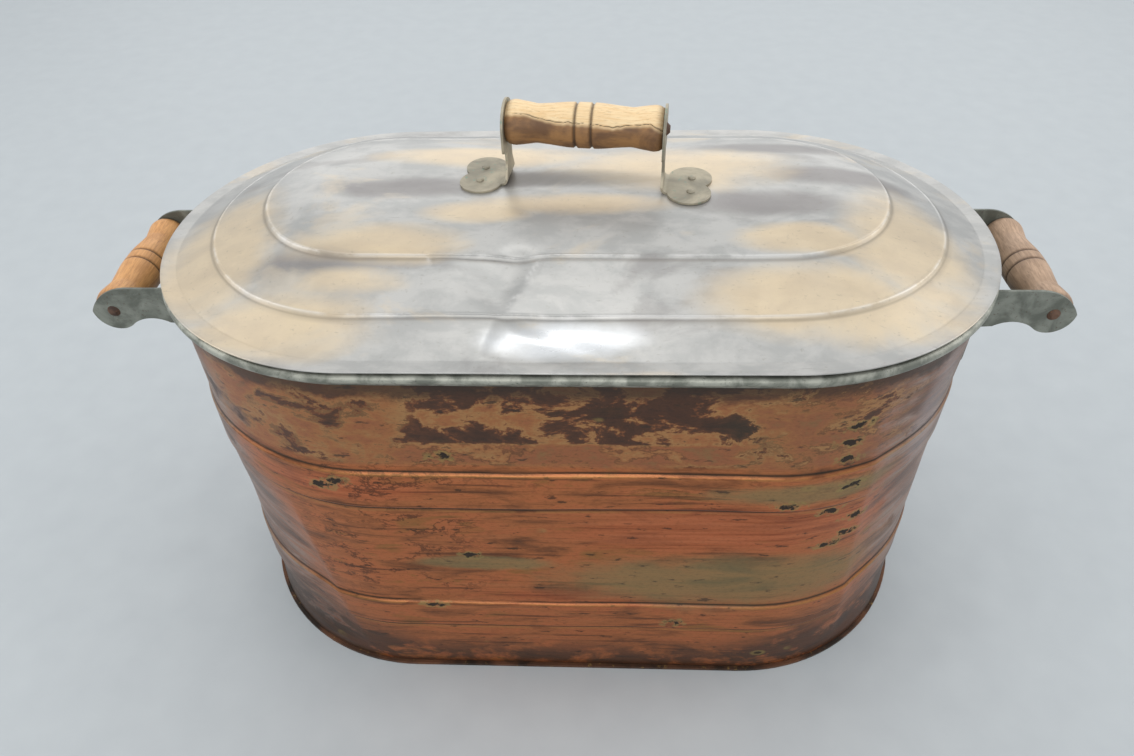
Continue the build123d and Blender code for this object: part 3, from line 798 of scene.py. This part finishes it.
def lid_mesh():
    """The lid's sheet: top, folded edge, and underside."""
    columns, radii = lid_grid()
    s, r = np.meshgrid(columns, radii, indexing="ij")
    x, y = oval(s, r)
    spots = np.stack([x, y, np.zeros_like(x)], -1)
    wander = wobble(spots, 0.12, 11) * 0.5 * MM
    hold = 1 - smooth(r, 0.146, 0.158)
    lift = LIFT * bell(s - LIFT_PLACE, LIFT_REACH) * smooth(r, 0.135, 0.160)
    top = lid_height(r + wander) + lid_dents(x, y, spots) * hold + lift
    upper = np.stack([x, y, top], -1)
    lower = np.stack([x, y, top - LID_SHEET], -1)[:, ::-1]
    edge = np.stack([*oval(columns, LID_RADIUS), np.zeros_like(columns)], -1)
    wave = wobble(edge, 0.13, 21) * 0.15 * MM + LIFT * bell(columns - LIFT_PLACE, LIFT_REACH)
    turns = np.linspace(pi / 2, -pi / 2, 9)
    hem_r = LID_RADIUS - HEM / 2 + np.cos(turns) * HEM / 2
    hem_z = LID_EDGE - HEM / 2 + np.sin(turns) * HEM / 2
    hem_r = np.append(hem_r, [LID_RADIUS - 3.6 * MM, LID_RADIUS - 4.2 * MM])
    hem_z = np.append(hem_z, [LID_EDGE - HEM, LID_EDGE - LID_SHEET])
    hem = np.stack([*oval(columns[:, None], hem_r[None]), hem_z[None] + wave[:, None]], -1)
    under = radii[::-1] < LID_RADIUS - 5 * MM
    grid = np.concatenate([upper, hem, lower[:, under]], 1)
    piece = mesh_of("lid_sheet", grid, grid[:, :, :2], wrap_u=True)
    # painted shade: a dark line just below each ridge step
    dirt_and_shade = np.maximum(*(bell(r + wander - place - 2.2 * MM, 1.2 * MM) for place in RIDGES))
    mark(piece, "dirt_and_shade", padded(dirt_and_shade, grid.shape[1]))
    # painted highlights along both ridges, two folds and one crease
    painted_glint = np.maximum(*(bell(r + wander - place, 0.8 * MM) for place in RIDGES))
    for start, end, *_ in LID_FOLDS[:2] + LID_CREASES[:1]:
        painted_glint = np.maximum(painted_glint, crease_depth(x, y, start, end, 1.1 * MM, 1.0))
    mark(piece, "painted_highlight", padded(painted_glint, grid.shape[1]))
    closed(piece)
    return piece


def tube_round(name, section, wander, seed):
    """A closed section of (distance from the centre line, height) carried round the oval."""
    columns = np.arange(0, PERIMETER, PERIMETER / 420)
    section = np.array(section)
    s, r = np.meshgrid(columns, section[:, 0], indexing="ij")
    _, z = np.meshgrid(columns, section[:, 1], indexing="ij")
    spots = np.stack([*oval(s, r), z * 0], -1)
    r = r + wobble(spots, 0.05, seed) * wander
    z = z + wobble(spots, 0.07, seed + 1) * wander
    grid = np.stack([*oval(s, r), z], -1)
    around = np.linspace(0, 0.03, len(section))
    uv = np.stack([s, np.broadcast_to(around, s.shape)], -1)
    return mesh_of(name, grid, uv, wrap_u=True, wrap_v=True)


# The rim, as (distance from the centre line, height): the middle of its roll, the roll's radius, and
# the outline of the skirt below it
RIM_MIDDLE = (0.1595, 0.3301)
RIM_ROLL = 0.0036
RIM_SKIRT = ((0.1562, 0.3285), (0.1561, 0.3221), (0.1567, 0.3219), (0.15675, 0.3275))


def rim_section():
    """The roll and its skirt, as one outline."""
    away, height = RIM_MIDDLE
    turns = np.radians(np.linspace(-140, 180, 26))
    roll = [(away + RIM_ROLL * cos(t), height + RIM_ROLL * sin(t)) for t in turns]
    return [*roll, *RIM_SKIRT]


# The turned grips: half of their profile as (place from the middle, radius) in mm, and the places and
# depth of their grooves, which are twice as wide as deep
GRIP_PROFILE = (
    (0, 15.0),
    (6, 15.0),
    (12, 14.7),
    (22, 13.6),
    (32, 12.7),
    (40, 14.0),
    (47, 15.0),
    (51.4, 14.2),
    (52.7, 12.6),
)
GROOVES = (-5.5 * MM, 5.5 * MM)
GROOVE_DEPTH = 1.5 * MM
# The lid grip's crack: about half its width, and its depth
CRACK_WIDTH = 0.32 * MM
CRACK_DEPTH = 1.1 * MM


def grip_radius(v):
    """The grip's radius at v along it, with the two grooves beside its middle."""
    knots, sizes = np.array(GRIP_PROFILE).T * MM
    soft = np.zeros_like(v)
    offsets = np.linspace(-1, 1, 5) * 1.2 * MM
    for offset in offsets:
        soft += np.interp(np.abs(v + offset), knots, sizes)
    soft /= len(offsets)
    for groove in GROOVES:
        soft -= GROOVE_DEPTH * np.clip(1 - np.abs(v - groove) / GROOVE_DEPTH, 0, 1)
    return soft


def bore_ring(a, v):
    """The edge of the rod's bore at v along the grip."""
    bore = ROD_RADIUS + 0.1 * MM
    return np.stack([np.cos(a) * bore, np.full_like(a, v), np.sin(a) * bore], -1)[:, None]


def grip_mesh(name, centre, turn, seed, brown_and_shade, crack=()):
    """A grip along the direction turn, in plan. Its crack is given as (place along it, angle)."""
    v = np.linspace(-GRIP_HALF, GRIP_HALF, 210)
    a = np.linspace(0, 2 * pi, 180, endpoint=False)
    aa, vv = np.meshgrid(a, v, indexing="ij")
    r = grip_radius(vv)
    spots = np.stack([np.cos(aa) * GRIP_RADIUS, vv, np.sin(aa) * GRIP_RADIUS], -1)
    r = r + wobble(spots * [1, 0.25, 1], 0.012, seed) * 0.07 * MM
    r = r + wobble(spots, 0.05, seed + 1) * 0.15 * MM
    # darker at the ends, in the grooves and in the crack
    dirt_and_shade = 0.5 * smooth(np.abs(vv), 47 * MM, GRIP_HALF)
    for groove in GROOVES:
        dirt_and_shade = np.maximum(dirt_and_shade, 0.8 * bell(vv - groove, 1.1 * MM))
    # painted shade: the underside is darker
    below = brown_and_shade * smooth(-np.sin(aa), -0.3, 0.7)
    if crack:
        places, angles = np.array(crack).T
        line = spots * [0, 1, 0]
        path = np.interp(vv, places * MM, angles) + wobble(line, 0.004, seed + 2) * 0.02
        away = (aa - path + pi) % (2 * pi) - pi
        width = CRACK_WIDTH * (1 + 0.5 * wobble(line, 0.02, seed + 3))
        cut = bell(away * GRIP_RADIUS, width) * smooth(vv, places[0] * MM, (places[0] + 9) * MM)
        r = r - CRACK_DEPTH * cut
        dirt_and_shade = np.maximum(dirt_and_shade, cut)
        # the lid grip is brown below its crack and round its underside: the wood's own two tones and
        # painted shade
        below = brown_and_shade * smooth(-away, -0.04, 0.22) * (1 - smooth(-away, 2.3, 2.9))
    outer = np.stack([np.cos(aa) * r, vv, np.sin(aa) * r], -1)
    local = np.concatenate([outer, bore_ring(a, GRIP_HALF), bore_ring(a, -GRIP_HALF)], 1)
    across = np.array([sin(turn), -cos(turn), 0.0])
    along = np.array([cos(turn), sin(turn), 0.0])
    grid = local[..., :1] * across + local[..., 1:2] * along + local[..., 2:] * np.array([0, 0, 1.0])
    grid = grid + np.array(centre)
    uv = np.stack([np.broadcast_to((a * GRIP_RADIUS)[:, None], local.shape[:2]), local[..., 1]], -1)
    piece = mesh_of(name, grid, uv, wrap_u=True, wrap_v=True)
    ends = np.zeros((len(a), 2))
    mark(piece, "dirt_and_shade", np.concatenate([dirt_and_shade, ends + 0.6], 1))
    mark(piece, "brown_and_shade", np.concatenate([below, ends + 0.5], 1))
    closed(piece)
    return piece


copper_front = copper_finish("copper_front", True)
copper_rear = copper_finish("copper_rear", False)
front_wall = wall_sheet("wall_front", -SEAM, SEAM, True)
rear_wall = wall_sheet("wall_rear", SEAM, 3 * SEAM, False)
dress(front_wall, copper_front)
dress(rear_wall, copper_rear)
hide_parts("body_front_sheet")
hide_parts("body_rear_sheet")

lid_tin = lid_finish()
lid = lid_mesh()
dress(lid, lid_tin)
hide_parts("lid_shell")

rim_tin = dull_metal("rim_tin", "AEAEA2", "787A70", "3E3F38", 0.6, 0.42, 140.0)
rim = tube_round("rim_roll", rim_section(), 0.07 * MM, 31)
dress(rim, rim_tin)
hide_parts("rim_band")

wood_left = wood_finish("wood_left", "DDA468", "B8804C", "6E4426", "8E5C34", pi / 2)
wood_right = wood_finish("wood_right", "C4A488", "9C8068", "4A3A2C", "6A5844", pi / 2, 0.12)
wood_lid = wood_finish("wood_lid", "F2D6A8", "E2BC88", "5E3C22", "94683A", -LID_TURN, 0.05)
# the number after the seed sets how far each grip's underside is darkened: painted shade, and on the
# lid grip also its own brown below the crack
left_grip = grip_mesh("grip_left", (-SIDE_ROD_X, 0, SIDE_ROD_Z), pi / 2, 41, 0.6)
right_grip = grip_mesh("grip_right", (SIDE_ROD_X, 0, SIDE_ROD_Z), pi / 2, 51, 0.8)
# The crack in the lid's grip: place along it in mm, angle up from the front
LID_CRACK = (
    (-50, 0.80),
    (-38, 0.86),
    (-27, 0.66),
    (-17, 0.52),
    (8, 0.49),
    (20, 0.38),
    (31, 0.53),
    (44, 0.60),
    (52, 0.34),
)
lid_grip = grip_mesh("grip_lid", LID_ROD, LID_TURN, 61, 0.95, LID_CRACK)
for piece, material, node in (
    (left_grip, wood_left, "left_grip"),
    (right_grip, wood_right, "right_grip"),
    (lid_grip, wood_lid, "lid_grip"),
):
    dress(piece, material)
    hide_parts(node)

# Carried-over solids: each with its finish and the rounding of its edges in mm, where 0 is for round
# heads, smoothed all over, and None leaves the solid plain
dark_iron = dull_metal("dark_iron", "8E9187", "686B62", "5A4636", 0.5, 0.5, 110.0)
strap_tin = dull_metal("strap_tin", "B8AE98", "8A8474", "7A9484", 0.5, 0.5)
rust = dull_metal("rust", "6A5040", "3E2E26", "8A5A38", 0.3, 0.65, 200.0)
inner_tin = tin_finish("inner_tin", "B9B4A8", "CDBF9E", "8C8A86", 0.8, 0.42)
copper_plain = dull_metal("copper_plain", "6A4630", "2A2018", "9A7A44", 0.4, 0.5, 40.0)
CARRIED = {
    "left_handle_bracket": (dark_iron, 0.4),
    "right_handle_bracket": (dark_iron, 0.4),
    "left_bracket_rivets": (dark_iron, 0),
    "right_bracket_rivets": (dark_iron, 0),
    "left_handle_rod": (rust, 0.5),
    "right_handle_rod": (rust, 0.5),
    "lid_handle_rod": (rust, 0.5),
    "lid_bracket_left": (strap_tin, 0.35),
    "lid_bracket_right": (strap_tin, 0.35),
    "lid_rivets_left": (strap_tin, 0),
    "lid_rivets_right": (strap_tin, 0),
    "lid_inner_flange": (inner_tin, 0.2),
    "left_end_seam": (copper_plain, 0.3),
    "right_end_seam": (copper_plain, 0.3),
    "bottom_pan": (copper_plain, 0.25),
    "rim_wire": (rust, None),
}
for node, (material, round_mm) in CARRIED.items():
    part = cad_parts[node]
    dress(part, material)
    if round_mm is None:
        continue
    weld = part.modifiers.new("weld", "WELD")
    weld.merge_threshold = 0.02 * MM
    if round_mm:
        bevel = part.modifiers.new("round", "BEVEL")
        bevel.width = round_mm * MM
        bevel.segments = 2
        bevel.limit_method = "ANGLE"
        bevel.angle_limit = radians(40)
        bevel.use_clamp_overlap = True
    else:
        subdivision = part.modifiers.new("hammered", "SUBSURF")
        subdivision.levels = 2
        subdivision.render_levels = 2

# The body that each piece rides on
for piece in (front_wall, rear_wall, rim):
    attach(piece, "boiler")
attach(lid, "lid")
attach(left_grip, "left_grip")
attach(right_grip, "right_grip")
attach(lid_grip, "lid_grip")

# Floor, light and camera
floor_finish = Finish("floor", 0.0, 0.55)
speck = floor_finish.noise(floor_finish.coordinate("Object"), 30.0, 4.0, 0.5)
floor_look = floor_finish.done(floor_finish.mix(speck, rgb("B2B7B9"), rgb("BCC1C2")))
floor_mesh = bpy.data.meshes.new("floor")
FLOOR_REACH = 40.0
corners = [(x * FLOOR_REACH, y * FLOOR_REACH, 0) for x, y in ((-1, -1), (1, -1), (1, 1), (-1, 1))]
floor_mesh.from_pydata(corners, [], [(0, 1, 2, 3)])
floor = bpy.data.objects.new("floor", floor_mesh)
bpy.context.collection.objects.link(floor)
floor_mesh.materials.append(floor_look)


def area_light(name, place, target, size, power):
    """A rectangular lamp of that size at place, turned to face target."""
    lamp = bpy.data.lights.new(name, "AREA")
    lamp.shape = "RECTANGLE"
    lamp.size, lamp.size_y = size
    lamp.energy = power
    lamp_object = bpy.data.objects.new(name, lamp)
    lamp_object.location = place
    lamp_object.rotation_euler = (Vector(target) - Vector(place)).to_track_quat("-Z", "Y").to_euler()
    bpy.context.collection.objects.link(lamp_object)


area_light("overhead", (0.1, 0.3, 2.2), (0, 0, 0.3), (2.6, 2.2), 6)
area_light("window", (-0.105, -0.02, 1.9), (-0.01, -0.137, 0.34), (0.22, 0.10), 1.5)
area_light("back", (0.0, 2.4, 1.3), (0, 0, 0.35), (3.6, 1.4), 16)
area_light("left", (-2.0, -0.1, 1.2), (0, 0, 0.2), (1.2, 1.6), 10)
area_light("right", (2.0, 0.2, 1.2), (0, 0, 0.2), (1.2, 1.6), 10)
area_light("front", (-0.2, -2.2, 1.3), (0, 0, 0.2), (1.6, 1.0), 14)

world = bpy.data.worlds.new("studio")
bpy.context.scene.world = world
world.use_nodes = True
world.node_tree.nodes["Background"].inputs["Color"].default_value = (0.86, 0.89, 0.93, 1)
world.node_tree.nodes["Background"].inputs["Strength"].default_value = 0.82

camera_data = bpy.data.cameras.new("camera")
camera_data.lens = CAMERA_LENS
camera_data.sensor_width = 36
camera_data.clip_start = 0.01
camera = bpy.data.objects.new("camera", camera_data)
bpy.context.collection.objects.link(camera)
ahead = cos(CAMERA_PITCH)
forward = Vector((sin(CAMERA_YAW) * ahead, cos(CAMERA_YAW) * ahead, -sin(CAMERA_PITCH)))
level = Vector((cos(CAMERA_YAW), -sin(CAMERA_YAW), 0))
upright = level.cross(forward)
right = level * cos(CAMERA_ROLL) + upright * sin(CAMERA_ROLL)
above = upright * cos(CAMERA_ROLL) - level * sin(CAMERA_ROLL)
facing = Matrix((right, above, -forward)).transposed().to_4x4()
camera.matrix_world = Matrix.Translation(CAMERA_PLACE) @ facing
bpy.context.scene.camera = camera
bpy.context.scene.view_settings.view_transform = "Standard"
